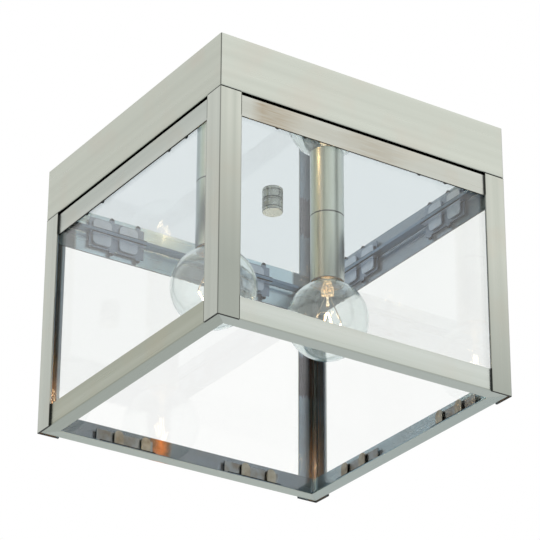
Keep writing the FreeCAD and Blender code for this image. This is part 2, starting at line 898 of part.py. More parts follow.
def lead(lamp_sign, y_sign):
    """Insulated lead from a lampholder, up through its nipple, to a connector."""
    x_lamp = lamp_sign * lamp_offset + y_sign * lead_pair
    arch = floor_high + lead_arch
    x_bend = lamp_sign * (lamp_offset - lead_inward)
    x_down = lamp_sign * lead_down_x
    x_end = lamp_sign * lead_grip
    points = [point(x_lamp, 0, holder_floor + leaf_thickness), point(x_lamp, 0, arch),
              point(x_bend, y_sign * lead_side, arch), point(x_down, y_sign * lead_down_y, lead_height),
              point(x_end, y_sign * lead_entry, lead_height), point(x_end, y_sign * lead_end, lead_height)]
    return round_wire(points, lead_radius, "lead")


def wire_connector(y_sign):
    """Twist-on cone over the bared ends of two leads, lying on the canopy floor."""
    outline = [(connector_bore, 0), (connector_radius, 0), (connector_tip_radius, connector_length),
               (0, connector_length), (0, connector_bore_depth), (connector_bore, connector_bore_depth)]
    cone = turned_outline(outline)
    cone.rotate(point(0, 0, 0), point(1, 0, 0), -90 * y_sign)
    cone.translate(point(0, y_sign * connector_mouth, lead_height))
    return cone


def pair(shapes):
    """The same solids under the left lamp and the right lamp, as one group."""
    return [moved_copy(shape, sign * lamp_offset) for name, sign in LAMPS for shape in shapes]


def save_cage():
    """Write the posts, rails, panes, clips and fixings of the cage."""
    for name, degrees in around(CORNERS):
        save("post_" + name, [turned_copy(corner_post(), degrees)])
    for name, degrees in around(SIDES):
        save("top_rail_" + name, [turned_copy(angle_rail(mirror_low, -1), degrees)])
        save("bottom_rail_" + name, [turned_copy(angle_rail(foot_low, 1), degrees)])
        save("glass_pane_" + name, [turned_copy(glass_pane(), degrees)])
    save("top_glass_clips", two_clips_a_side(top_clip, top_clip_shares))
    save("bottom_glass_clips", two_clips_a_side(bottom_clip, foot_clip_shares))
    save("cage_studs", cage_studs())
    save("cage_nuts", cage_nuts())


def save_canopy():
    """Write the canopy, the mirror plate and what hangs them from the ceiling."""
    save("canopy_pan", [canopy_pan()])
    save("mirror_plate", [mirror_plate()])
    save("crossbar", [crossbar()])
    save("centre_rod", [centre_rod()])
    save("rod_nut", [rod_nut()])
    save("knob_washer", [knob_washer()])
    save("knob", [knob()])
    save("ground_screws", ground_screws())
    save("ground_wire", [ground_wire()])


def save_lamps():
    """Write both lamps, their bulbs and their wiring."""
    pieces = (("lamp_tube", [lamp_tube()]), ("holder_strap", [holder_strap()]),
              ("lampholder", [lampholder()]), ("screw_shell", [screw_shell()]),
              ("centre_contact", [centre_contact()]), ("bulb_cap", [bulb_cap()]),
              ("bulb_insulator", [bulb_insulator()]), ("bulb_contact", [bulb_contact()]),
              ("bulb_glass", [bulb_glass()]), ("bulb_stem", [bulb_stem()]),
              ("bulb_wires", bulb_wires()), ("bulb_filament", [bulb_filament()]))
    for piece, shapes in pieces:
        for lamp, sign in LAMPS:
            save(piece + "_" + lamp, [moved_copy(shape, sign * lamp_offset) for shape in shapes])
    save("nipples", pair([nipple()]))
    save("nipple_nuts", pair(nipple_nuts()))
    save("holder_rivets", pair(holder_rivets()))
    save("black_leads", [lead(sign, 1) for name, sign in LAMPS])
    save("white_leads", [lead(sign, -1) for name, sign in LAMPS])
    save("wire_connectors", [wire_connector(1), wire_connector(-1)])


os.makedirs("parts", exist_ok=True)
save_canopy()
save_cage()
save_lamps()
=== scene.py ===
import math

import bmesh
import bpy
from mathutils import Matrix, Vector


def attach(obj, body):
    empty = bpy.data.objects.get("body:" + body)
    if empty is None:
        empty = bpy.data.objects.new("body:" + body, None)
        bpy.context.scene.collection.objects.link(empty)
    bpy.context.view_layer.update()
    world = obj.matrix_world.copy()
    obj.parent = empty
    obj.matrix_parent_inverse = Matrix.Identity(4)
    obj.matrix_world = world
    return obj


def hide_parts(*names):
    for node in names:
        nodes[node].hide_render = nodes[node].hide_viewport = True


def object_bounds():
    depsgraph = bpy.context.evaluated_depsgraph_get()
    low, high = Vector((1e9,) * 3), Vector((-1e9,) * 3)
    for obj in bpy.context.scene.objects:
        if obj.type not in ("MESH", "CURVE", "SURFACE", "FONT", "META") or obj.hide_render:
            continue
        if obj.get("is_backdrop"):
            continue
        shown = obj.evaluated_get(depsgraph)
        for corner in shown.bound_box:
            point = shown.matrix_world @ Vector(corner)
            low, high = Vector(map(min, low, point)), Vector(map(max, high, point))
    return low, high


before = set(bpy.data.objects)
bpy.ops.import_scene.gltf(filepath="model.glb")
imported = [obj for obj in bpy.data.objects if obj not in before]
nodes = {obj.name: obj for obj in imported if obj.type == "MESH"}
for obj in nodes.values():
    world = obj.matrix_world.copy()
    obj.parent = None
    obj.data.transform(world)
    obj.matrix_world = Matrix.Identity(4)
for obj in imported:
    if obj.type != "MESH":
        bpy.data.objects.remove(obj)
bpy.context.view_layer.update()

# Canopy pan: a square box of thin sheet steel, open to the ceiling, with its corners
# welded and ground. It is brushed along its sides and plated with nickel, so it has a
# soft warm grey shine with fine lines and faint clouds, and a painted shade line down each corner.


def linear(code):
    """An sRGB hex colour as the linear colour that a shader reads."""
    shares = [int(code[place:place + 2], 16) / 255 for place in (1, 3, 5)]
    return [share / 12.92 if share < 0.04 else ((share + 0.055) / 1.055) ** 2.4
            for share in shares] + [1]


def blank(name):
    """A finish with no nodes yet."""
    finish = bpy.data.materials.new(name)
    finish.use_nodes = True
    finish.node_tree.nodes.clear()
    return finish


def add(finish, kind, inputs=None, **settings):
    """Adds a node with its settings. An input is a value, or a pair of a node and its output."""
    node = finish.node_tree.nodes.new("ShaderNode" + kind)
    for setting, value in settings.items():
        setattr(node, setting, value)
    for socket, value in (inputs or {}).items():
        if isinstance(value, tuple):
            giver, output = value
            finish.node_tree.links.new(giver.outputs[output], node.inputs[socket])
        else:
            node.inputs[socket].default_value = value
    return node


def dress(finish, *names):
    """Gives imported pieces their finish."""
    for name in names:
        nodes[name].data.materials.clear()
        nodes[name].data.materials.append(finish)


def distances(finish):
    """The smaller and the larger of the distances along x and y, and all three apart."""
    place = add(finish, "TexCoord")
    away = add(finish, "VectorMath", {0: (place, "Object")}, operation="ABSOLUTE")
    apart = add(finish, "SeparateXYZ", {0: (away, 0)})
    near = add(finish, "Math", {0: (apart, 0), 1: (apart, 1)}, operation="MINIMUM")
    far = add(finish, "Math", {0: (apart, 0), 1: (apart, 1)}, operation="MAXIMUM")
    return near, far, apart


def nickel(finish, streak, pale, deep, warm, warm_share):
    """Brushed nickel. streak is how far one brush line reaches along x, y and z in mm."""
    place = add(finish, "TexCoord")
    along = add(finish, "Mapping", {"Vector": (place, "Object"),
                                    "Scale": [1000 / reach for reach in streak]})
    # Real brush lines are 0.1 mm wide. These are 0.9 mm, so that they show from a step away.
    lines = add(finish, "TexNoise", {"Vector": (along, 0), "Scale": 1.0, "Detail": 2.0})
    bands = add(finish, "TexNoise", {"Vector": (along, 0), "Scale": 0.16, "Detail": 1.0})
    clouds = add(finish, "TexNoise", {"Vector": (place, "Object"), "Scale": 1000 / 32,
                                      "Detail": 3.0})
    tone = add(finish, "Math", {0: (lines, "Fac"), 1: 0.35, 2: (bands, "Fac")},
               operation="MULTIPLY_ADD")
    depth = add(finish, "MapRange", {"Value": (tone, 0), "From Min": 0.45, "From Max": 0.9})
    plate = add(finish, "Mix", {0: (depth, 0), 6: linear(deep), 7: linear(pale)}, data_type="RGBA")
    blush = add(finish, "MapRange", {"Value": (clouds, "Fac"), "From Min": 0.5,
                                     "From Max": 0.72, "To Max": warm_share})
    colour = add(finish, "Mix", {0: (blush, 0), 6: (plate, 2), 7: linear(warm)}, data_type="RGBA")
    rough = add(finish, "MapRange", {"Value": (lines, "Fac"), "From Min": 0.3,
                                     "From Max": 0.7, "To Min": 0.27, "To Max": 0.37})
    grooves = add(finish, "Bump", {"Height": (lines, "Fac"), "Strength": 0.3, "Distance": 0.00005})
    return colour, rough, grooves


def metal(finish, colour, rough, bump):
    """Ends a finish as bare metal."""
    shader = add(finish, "BsdfPrincipled", {"Base Color": colour, "Metallic": 1.0,
                                            "Roughness": rough, "Normal": bump})
    add(finish, "OutputMaterial", {"Surface": (shader, 0)})


def side_walls(finish, apart):
    """1 on the left and right walls, and 0 on the front and back ones."""
    lean = add(finish, "Math", {0: (apart, 0), 1: (apart, 1)}, operation="SUBTRACT")
    return add(finish, "MapRange", {"Value": (lean, 0), "From Min": -0.0003, "From Max": 0.0003})


finish = blank("brushed_nickel_canopy")
colour, rough, grooves = nickel(finish, (60, 60, 0.9), "#C9CCC2", "#C2C5BB", "#C9BFB3", 0.35)
near, far, apart = distances(finish)
# The side walls are painted a touch darker and warmer than the front and back, as painted shade.
side = side_walls(finish, apart)
colour = add(finish, "Mix", {0: (side, 0), 6: (colour, 2), 7: linear("#F8F7F4")},
             data_type="RGBA", blend_type="MULTIPLY")
# Painted shade: a dark line on the last 0.5 mm of each corner, and the underside of the floor
# painted dark as the shadow in the gap above the rails.
corner_shade = add(finish, "MapRange", {"Value": (near, 0), "From Min": 0.10445,
                                "From Max": 0.10455, "To Max": 0.75})
gap_shade = add(finish, "MapRange", {"Value": (apart, 2), "From Min": 0.03554, "From Max": 0.03558})
covered = add(finish, "MapRange", {"Value": (far, 0), "From Min": 0.1041, "From Max": 0.1039})
gap_shade = add(finish, "Math", {0: (gap_shade, 0), 1: (covered, 0)}, operation="MULTIPLY")
painted_shade = add(finish, "Math", {0: (corner_shade, 0), 1: (gap_shade, 0)}, operation="MAXIMUM")
shown = add(finish, "Mix", {0: (painted_shade, 0), 6: (colour, 2), 7: linear("#17170F")}, data_type="RGBA")
metal(finish, (shown, 2), (rough, 0), (grooves, 0))
dress(finish, "canopy_pan")

# Mirror plate: a sheet of polished stainless steel under the canopy, the ceiling of the
# cage. It doubles all that hangs under it, a little wavy as thin sheet is, and its
# sheared edges are dull, and painted dark as the shadow in the gap under the canopy.
finish = blank("polished_stainless_steel")
place = add(finish, "TexCoord")
_, far, _ = distances(finish)
waves = add(finish, "TexNoise", {"Vector": (place, "Object"), "Scale": 1000 / 80, "Detail": 1.0})
wipes = add(finish, "TexNoise", {"Vector": (place, "Object"), "Scale": 1000 / 12, "Detail": 4.0})
haze = add(finish, "MapRange", {"Value": (wipes, "Fac"), "From Min": 0.35,
                                "From Max": 0.7, "To Min": 0.003, "To Max": 0.012})
# The edges are painted near black, as painted shade.
edge = add(finish, "MapRange", {"Value": (far, 0), "From Min": 0.10085, "From Max": 0.10095})
shown = add(finish, "Mix", {0: (edge, 0), 6: linear("#F3F7F9"), 7: linear("#17170F")},
            data_type="RGBA")
bulge = add(finish, "Bump", {"Height": (waves, "Fac"), "Strength": 1.0, "Distance": 0.00012})
metal(finish, (shown, 2), (haze, 0), (bulge, 0))
dress(finish, "mirror_plate")

# Corner posts: steel angle, brushed up and down and nickel plated. The corner line is a
# faint painted shade, the sheared edges are painted dark as raw steel and as painted shade,
# and the inside isn't brushed, so it is smoother and reads as a dark blue grey.


def inside_of(finish, colour, inner, share):
    """The smooth inside over the brushed outside, by share, with soft brown stains."""
    place = add(finish, "TexCoord")
    stains = add(finish, "TexNoise", {"Vector": (place, "Object"), "Scale": 1000 / 18,
                                      "Detail": 4.0})
    stained = add(finish, "MapRange", {"Value": (stains, "Fac"), "From Min": 0.5,
                                       "From Max": 0.75, "To Max": 0.25})
    plain = add(finish, "Mix", {0: (stained, 0), 6: linear(inner), 7: linear("#7C7062")},
                data_type="RGBA")
    return add(finish, "Mix", {0: share, 6: (colour, 2), 7: (plain, 2)}, data_type="RGBA")


finish = blank("brushed_nickel_post")
colour, rough, grooves = nickel(finish, (0.9, 0.9, 90), "#C7C9BF", "#B8BBB1", "#C3B9A9", 0.35)
near, far, apart = distances(finish)
# Painted shade: the plate is painted greyer towards the foot, most of all on front and back
# faces and on the post nearest to the front left.
place = add(finish, "TexCoord")
spot = add(finish, "SeparateXYZ", {0: (place, "Object")})
across = add(finish, "Math", {0: (spot, 0), 1: (spot, 1)}, operation="ADD")
later = add(finish, "MapRange", {"Value": (across, 0), "From Min": -0.15,
                                 "From Max": -0.1, "To Max": 0.04})
depth = add(finish, "Math", {0: (apart, 2), 1: (later, 0)}, operation="SUBTRACT")
foot_shade = add(finish, "MapRange", {"Value": (depth, 0), "From Min": 0.05, "From Max": 0.15,
                                "To Max": 0.95})
side = side_walls(finish, apart)
front = add(finish, "MapRange", {"Value": (side, 0), "To Min": 1.0, "To Max": 0.3})
foot_shade = add(finish, "Math", {0: (foot_shade, 0), 1: (front, 0)}, operation="MULTIPLY")
colour = add(finish, "Mix", {0: (foot_shade, 0), 6: (colour, 2), 7: linear("#9CA098")}, data_type="RGBA")
# Beside the cut edges of the glass the inside is painted dark brown, with copper coloured runs
# painted as glints of the lit coil.
inner = add(finish, "MapRange", {"Value": (far, 0), "From Min": 0.1044, "From Max": 0.1042})
colour = inside_of(finish, colour, "#8D9CAB", (inner, 0))
# The runs are 1.1 mm wide and 71 mm long.
upright = add(finish, "Mapping", {"Vector": (place, "Object"), "Scale": [900, 900, 14]})
runs = add(finish, "TexNoise", {"Vector": (upright, 0), "Scale": 1.0, "Detail": 3.0})
low = add(finish, "MapRange", {"Value": (apart, 2), "From Min": 0.12, "From Max": 0.18,
                               "To Min": 0.05, "To Max": 0.25})
streak = add(finish, "Math", {0: (runs, "Fac"), 1: (low, 0)}, operation="ADD")
# The copper runs are painted glints, the coil's light reflected.
coil_glint_runs = add(finish, "MapRange", {"Value": (streak, 0), "From Min": 0.58, "From Max": 0.76})
brown_with_glints = add(finish, "Mix", {0: (coil_glint_runs, 0), 6: linear("#3D3A2F"),
                            7: linear("#A87644")}, data_type="RGBA")
# The brown reaches further in on the left posts and on the inside of every side wall.
on_left = add(finish, "MapRange", {"Value": (spot, 0), "From Min": -0.01,
                                   "From Max": 0.01, "To Min": 1.0, "To Max": 0.0})
further = add(finish, "Math", {0: (on_left, 0), 1: (side, 0)}, operation="MAXIMUM")
browned = add(finish, "Math", {0: (further, 0), 1: 0.0057, 2: (near, 0)}, operation="MULTIPLY_ADD")
behind_glass = add(finish, "MapRange", {"Value": (browned, 0), "From Min": 0.0975,
                                        "From Max": 0.0985, "To Max": 0.9})
brown_share = add(finish, "Math", {0: (behind_glass, 0), 1: (inner, 0)}, operation="MULTIPLY")
colour = add(finish, "Mix", {0: (brown_share, 0), 6: (colour, 2), 7: (brown_with_glints, 2)}, data_type="RGBA")
# A faint rust red stain, 29 mm long with a ragged foot, on the back wall of the far right
# post.
ragged = add(finish, "Math", {0: (runs, "Fac"), 1: 0.014, 2: (apart, 2)}, operation="MULTIPLY_ADD")
stain = add(finish, "Math", {0: (ragged, 0), 1: 0.104, 2: 0.0145}, operation="COMPARE")
far_right = add(finish, "MapRange", {"Value": (across, 0), "From Min": 0.17, "From Max": 0.18})
at_back = add(finish, "Math", {0: 1.0, 1: (further, 0)}, operation="SUBTRACT")
for share in ((far_right, 0), (at_back, 0), (inner, 0), 0.55):
    stain = add(finish, "Math", {0: (stain, 0), 1: share}, operation="MULTIPLY")
colour = add(finish, "Mix", {0: (stain, 0), 6: (colour, 2), 7: linear("#573020")},
             data_type="RGBA")
# The cut edges are painted dark, as raw steel and as painted shade, and darker still beside the
# rails, as the painted shadow of the recess behind them.
sheared_and_shaded = add(finish, "MapRange", {"Value": (near, 0), "From Min": 0.0905,
                                   "From Max": 0.0904, "To Max": 0.35})
by_rail = add(finish, "Math", {0: (apart, 2), 1: 0.1107}, operation="SUBTRACT")
beside = add(finish, "Math", {0: (by_rail, 0)}, operation="ABSOLUTE")
shade = add(finish, "MapRange", {"Value": (beside, 0), "From Min": 0.0585,
                                 "From Max": 0.0595, "To Min": 1.0, "To Max": 2.6})
dark_edge = add(finish, "Math", {0: (sheared_and_shaded, 0), 1: (shade, 0)}, operation="MULTIPLY")
# Painted shade on the foot and the head, and down the corner line.
painted_shade = dark_edge
for line, starts, full, most in (((apart, 2), 0.1846, 0.1847, 1.0),
                                 ((apart, 2), 0.0365, 0.0363, 1.0),
                                 ((near, 0), 0.1044, 0.1046, 0.5)):
    part = add(finish, "MapRange", {"Value": line, "From Min": starts, "From Max": full,
                                    "To Max": most})
    painted_shade = add(finish, "Math", {0: (painted_shade, 0), 1: (part, 0)}, operation="MAXIMUM")
shown = add(finish, "Mix", {0: (painted_shade, 0), 6: (colour, 2), 7: linear("#17170F")}, data_type="RGBA")
metal(finish, (shown, 2), (rough, 0), (grooves, 0))
dress(finish, "post_front_left", "post_front_right", "post_back_right", "post_back_left")

# Rails: the same angle in a lighter gauge, mitred at the corners, four at the top of the
# cage and four at its foot. They are brushed along their length, and smooth inside. The
# top rails are a little browner in places, where the plate is thin.


def rail_nickel(name, streak, plate, inner_colour_lit_and_shaded, under_shade_colour):
    """Brushed outside and smooth inside of a rail, with its bends and cut edges."""
    finish = blank(name)
    colour, rough, grooves = nickel(finish, streak, *plate)
    near, far, apart = distances(finish)
    within = add(finish, "MapRange", {"Value": (far, 0), "From Min": 0.1034, "From Max": 0.1032})
    above_foot = add(finish, "MapRange", {"Value": (apart, 2), "From Min": 0.1841,
                                          "From Max": 0.1839})
    inner = add(finish, "Math", {0: (within, 0), 1: (above_foot, 0)}, operation="MINIMUM")
    # The underside of the foot is painted duller than its face, as painted shade.
    colour = add(finish, "Mix", {0: (above_foot, 0), 6: linear(under_shade_colour), 7: (colour, 2)},
                 data_type="RGBA")
    colour = inside_of(finish, colour, inner_colour_lit_and_shaded, (inner, 0))
    # The flange under the mirror plate is painted darker than the wall beside it, as painted
    # shade.
    flange_shade = add(finish, "MapRange", {"Value": (apart, 2), "From Min": 0.0382, "From Max": 0.038})
    flange_shade = add(finish, "Math", {0: (flange_shade, 0), 1: (inner, 0)}, operation="MULTIPLY")
    colour = add(finish, "Mix", {0: (flange_shade, 0), 6: (colour, 2), 7: linear("#70869A")},
                 data_type="RGBA")
    # A painted highlight runs along the top bends, a dark line of painted shade along the foot
    # bends, and the lower cut edge of a top rail is painted dark, as raw steel and as painted
    # shade.
    outside = add(finish, "MapRange", {"Value": (far, 0), "From Min": 0.1036, "From Max": 0.1037})
    for bend, shade_or_highlight, share in ((0.1838, "#6F705E", 0.35), (0.0372, "#F0F2EA", 0.6)):
        band = add(finish, "Math", {0: (apart, 2), 1: bend, 2: 0.0003}, operation="COMPARE")
        for part in (share, (outside, 0)):
            band = add(finish, "Math", {0: (band, 0), 1: part}, operation="MULTIPLY")
        colour = add(finish, "Mix", {0: (band, 0), 6: (colour, 2), 7: linear(shade_or_highlight)},
                     data_type="RGBA")
    # Inside, the corners behind the posts are painted dark, as painted shadow.
    corner_shadow = add(finish, "MapRange", {"Value": (near, 0), "From Min": 0.0825,
                                      "From Max": 0.0845, "To Max": 0.85})
    raised = add(finish, "MapRange", {"Value": (apart, 2), "From Min": 0.06, "From Max": 0.05})
    for part in (raised, inner):
        corner_shadow = add(finish, "Math", {0: (corner_shadow, 0), 1: (part, 0)}, operation="MULTIPLY")
    cut = add(finish, "Math", {0: (apart, 2), 1: 0.0515, 2: 0.00008}, operation="COMPARE")
    dark = add(finish, "Math", {0: (corner_shadow, 0), 1: (cut, 0)}, operation="MAXIMUM")
    shown = add(finish, "Mix", {0: (dark, 0), 6: (colour, 2), 7: linear("#23231C")},
                data_type="RGBA")
    metal(finish, (shown, 2), (rough, 0), (grooves, 0))
    return finish, shown


def repaint(finish, share, shown, fresh):
    """Lays a fresh colour over the one that a metal finish shows, by share."""
    mixed = add(finish, "Mix", {0: (share, 0), 6: (shown, 2), 7: fresh}, data_type="RGBA")
    for node in finish.node_tree.nodes:
        if node.bl_idname == "ShaderNodeBsdfPrincipled":
            finish.node_tree.links.new(mixed.outputs[2], node.inputs["Base Color"])


def rub(finish, shown, shares):
    """Rubs a rail's plate brown in streaks, by shares at places along it in mm."""
    place = add(finish, "TexCoord")
    along = add(finish, "SeparateXYZ", {0: (place, "Object")})
    # The streaks are 17 mm long and 0.9 mm high.
    lines = add(finish, "Mapping", {"Vector": (place, "Object"), "Scale": [60, 60, 1100]})
    fine = add(finish, "TexNoise", {"Vector": (lines, 0), "Scale": 1.0, "Detail": 3.0})
    spot = add(finish, "MapRange", {"Value": (along, 0), "From Min": -0.1, "From Max": 0.1})
    ramp = add(finish, "ValToRGB", {"Fac": (spot, 0)})
    for at, share in shares:
        stop = ramp.color_ramp.elements.new(0.5 + at / 200)
        stop.color = [share, share, share, 1]
    for stop in (ramp.color_ramp.elements[0], ramp.color_ramp.elements[-1]):
        stop.color = [0, 0, 0, 1]
    streaks = add(finish, "MapRange", {"Value": (fine, "Fac"), "From Min": 0.3, "From Max": 0.7,
                                       "To Min": 0.55, "To Max": 1.45})
    share = add(finish, "Math", {0: (ramp, 0), 1: (streaks, 0)}, operation="MULTIPLY")
    face = add(finish, "MapRange", {"Value": (along, 1), "From Min": -0.1035, "From Max": -0.1037})
    share = add(finish, "Math", {0: (share, 0), 1: (face, 0)}, operation="MULTIPLY")
    repaint(finish, share, shown, linear("#A08F76"))


def coil_reflection(finish, shown, middle, half_width):
    """A painted reflection of the lit coil inside the back rail, copper coloured, placed along it
    in mm, fading to brown.
    """
    middle, half_width = middle / 1000, half_width / 1000
    place = add(finish, "TexCoord")
    spot = add(finish, "SeparateXYZ", {0: (place, "Object")})
    away = add(finish, "Math", {0: (spot, 0), 1: middle}, operation="SUBTRACT")
    away = add(finish, "Math", {0: (away, 0)}, operation="ABSOLUTE")
    mottle = add(finish, "TexNoise", {"Vector": (place, "Object"), "Scale": 1000 / 4,
                                      "Detail": 3.0})
    away = add(finish, "Math", {0: (mottle, "Fac"), 1: 0.008, 2: (away, 0)},
               operation="MULTIPLY_ADD")
    share = add(finish, "MapRange", {"Value": (away, 0), "From Min": half_width + 0.003,
                                     "From Max": half_width + 0.005, "To Min": 1.0, "To Max": 0.0})
    wall = add(finish, "MapRange", {"Value": (spot, 1), "From Min": 0.1025, "From Max": 0.1027})
    share = add(finish, "Math", {0: (share, 0), 1: (wall, 0)}, operation="MULTIPLY")
    core = add(finish, "MapRange", {"Value": (away, 0), "From Min": 0.003,
                                    "From Max": half_width + 0.003})
    reflection_tone = add(finish, "Mix", {0: (core, 0), 6: linear("#DC8A50"),
                                      7: linear("#7A6452")}, data_type="RGBA")
    repaint(finish, share, shown, (reflection_tone, 2))


lengthwise, crosswise = (60, 0.9, 0.9), (0.9, 60, 0.9)
top_plate = ("#CBCDC6", "#C0C2BA", "#C6BCAC", 0.4)
# The side rails' plates are painted darker than the front and back ones, as painted shade.
top_side_plate_shaded = ("#C1C4BC", "#B3B7AF", "#BAB2A2", 0.4)
foot_plate = ("#C8CCC6", "#BBC0B8", "#C5BEB2", 0.25)
foot_side_plate_shaded = ("#AEB0A2", "#A2A494", "#ADA792", 0.4)
rails = {}
# Each rail's inside is the smooth blue grey, painted lighter or darker for each rail as painted
# light and shade, and the underside of a foot painted darker as shade.
for name, streak, plate, inner_colour_lit_and_shaded, under_shade_colour, *dressed in (
        ("top_front", lengthwise, top_plate, "#93A7B8", "#87959F", "top_rail_front"),
        ("top_back", lengthwise, top_plate, "#D8F2FF", "#87959F", "top_rail_back"),
        ("top_sides", crosswise, top_side_plate_shaded, "#70869A", "#75838E", "top_rail_left",
         "top_rail_right"),
        ("foot_front", lengthwise, foot_plate, "#7B8890", "#B3B8B0", "bottom_rail_front"),
        ("foot_back", lengthwise, foot_plate, "#68747F", "#B0B6AD", "bottom_rail_back"),
        ("foot_left", crosswise, foot_side_plate_shaded, "#7F8F9C", "#A4A99F", "bottom_rail_left"),
        ("foot_right", crosswise, foot_side_plate_shaded, "#879FAA", "#A8B0AA", "bottom_rail_right")):
    rails[name] = rail_nickel("brushed_nickel_" + name, streak, plate, inner_colour_lit_and_shaded, under_shade_colour)
    dress(rails[name][0], *dressed)
rub(*rails["top_front"], ((-83, 0.1), (-75, 0.6), (-60, 0.45), (-45, 0.15), (-22, 0.15),
                          (-2, 0.35), (18, 0.3), (34, 0.1), (88, 0.05)))
coil_reflection(*rails["foot_back"], -17, 7.5)

# Panes: clear float glass, 2.5 mm thick, cut square and laid behind the rails. It is
# almost without colour face on, green at its cut edges, and barely wavy.


def clear(finish, colour, coat, bump, clearness=1.0, veil=0.0):
    """Ends a finish as glass that lets lamp light through, clear or milky, with a pale veil."""
    shader = add(finish, "BsdfPrincipled", {"Base Color": colour, "Roughness": coat,
                                            "IOR": 1.5, "Transmission Weight": clearness,
                                            "Sheen Weight": veil, "Sheen Roughness": 0.7,
                                            "Sheen Tint": linear("#B9E4EE"), "Normal": bump})
    path = add(finish, "LightPath")
    open_air = add(finish, "BsdfTransparent")
    both = add(finish, "MixShader", {0: (path, "Is Shadow Ray"), 1: (shader, 0), 2: (open_air, 0)})
    add(finish, "OutputMaterial", {"Surface": (both, 0)})
    return shader


finish = blank("float_glass")
place = add(finish, "TexCoord")
near, _, apart = distances(finish)
ripple = add(finish, "TexNoise", {"Vector": (place, "Object"), "Scale": 1000 / 60, "Detail": 0.0})
drawn = add(finish, "Bump", {"Height": (ripple, "Fac"), "Strength": 1.0, "Distance": 0.00004})
sides = add(finish, "MapRange", {"Value": (near, 0), "From Min": 0.0996, "From Max": 0.09975})
foot = add(finish, "MapRange", {"Value": (apart, 2), "From Min": 0.1831, "From Max": 0.18325})
cut = add(finish, "Math", {0: (sides, 0), 1: (foot, 0)}, operation="MAXIMUM")
shown = add(finish, "Mix", {0: (cut, 0), 6: linear("#FAFBFA"), 7: linear("#9CC4AE")},
            data_type="RGBA")
clear(finish, (shown, 2), 0.0, (drawn, 0))
dress(finish, "glass_pane_front", "glass_pane_right", "glass_pane_back",
      "glass_pane_left")

# Glass clips: angle strips of plated spring steel, spot welded to the flanges. Tabs pressed
# out of them hold the panes. The strips are a dull blue grey at the top and grey brown at
# the foot, the tabs are painted paler as painted highlight, at the foot only a little, and the
# sheared edges and the finger tips are painted black as shade.


def spring_steel(name, strip, lit_tab, stain, stain_share):
    """Plated spring steel, one colour for the strip and one for the tabs before it."""
    finish = blank(name)
    place = add(finish, "TexCoord")
    _, far, apart = distances(finish)
    grain = add(finish, "TexNoise", {"Vector": (place, "Object"), "Scale": 1000 / 1.5,
                                     "Detail": 2.0})
    heat = add(finish, "TexNoise", {"Vector": (place, "Object"), "Scale": 1000 / 7, "Detail": 3.0})
    # The tabs are painted paler, as painted highlight.
    on_tab = add(finish, "MapRange", {"Value": (far, 0), "From Min": 0.0988, "From Max": 0.0985})
    sheet = add(finish, "Mix", {0: (on_tab, 0), 6: linear(strip), 7: linear(lit_tab)},
                data_type="RGBA")
    patch = add(finish, "MapRange", {"Value": (heat, "Fac"), "From Min": 0.42,
                                     "From Max": 0.65, "To Max": stain_share})
    stained = add(finish, "Mix", {0: (patch, 0), 6: (sheet, 2), 7: linear(stain)},
                  data_type="RGBA")
    # The inner edges of the strips and the finger tips are painted black, as painted shade.
    edge = add(finish, "MapRange", {"Value": (far, 0), "From Min": 0.0953, "From Max": 0.0951})
    tip_shade = add(finish, "Math", {0: (apart, 2), 1: 0.0497, 2: 0.0009}, operation="COMPARE")
    black = add(finish, "Math", {0: (edge, 0), 1: (tip_shade, 0)}, operation="MAXIMUM")
    shown = add(finish, "Mix", {0: (black, 0), 6: (stained, 2), 7: linear("#14130F")},
                data_type="RGBA")
    rough = add(finish, "MapRange", {"Value": (grain, "Fac"), "From Min": 0.3,
                                     "From Max": 0.7, "To Min": 0.3, "To Max": 0.4})
    skin = add(finish, "Bump", {"Height": (grain, "Fac"), "Strength": 0.1, "Distance": 0.00002})
    metal(finish, (shown, 2), (rough, 0), (skin, 0))
    return finish


dress(spring_steel("spring_steel_top_clips", "#8290A0", "#B6C2CE", "#8C96A2", 0.2),
      "top_glass_clips")
dress(spring_steel("spring_steel_foot_clips", "#868C8E", "#98968B", "#6E6252", 0.6),
      "bottom_glass_clips")

# Cage studs and nuts, crossbar, centre rod and lock nut: zinc plated steel inside the
# canopy. The zinc is a dull blue grey with a spangle of grains and a trace of yellow.
zinc = blank("zinc_plated_steel")
place = add(zinc, "TexCoord")
spangle = add(zinc, "TexVoronoi", {"Vector": (place, "Object"), "Scale": 1000 / 2.5})
tarnish = add(zinc, "TexNoise", {"Vector": (place, "Object"), "Scale": 1000 / 14, "Detail": 3.0})
plate = add(zinc, "Mix", {0: (tarnish, "Fac"), 6: linear("#B3B8BC"), 7: linear("#C2BEAE")},
            data_type="RGBA")
rough = add(zinc, "MapRange", {"Value": (spangle, "Distance"), "From Max": 0.8,
                               "To Min": 0.3, "To Max": 0.45})
skin = add(zinc, "Bump", {"Height": (spangle, "Distance"), "Strength": 0.15, "Distance": 0.00003})
metal(zinc, (plate, 2), (rough, 0), (skin, 0))
dress(zinc, "cage_studs", "cage_nuts", "crossbar", "centre_rod", "rod_nut", "nipples",
      "nipple_nuts", "holder_strap_left", "holder_strap_right", "holder_rivets")

# Knob and washer: a nickel plated brass nut that is turned by hand to hold the light up.
# The knob is turned on a lathe, with a plain rim, a groove and a band of diamond
# knurling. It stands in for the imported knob, whose knurls are straight.
MM = 0.001


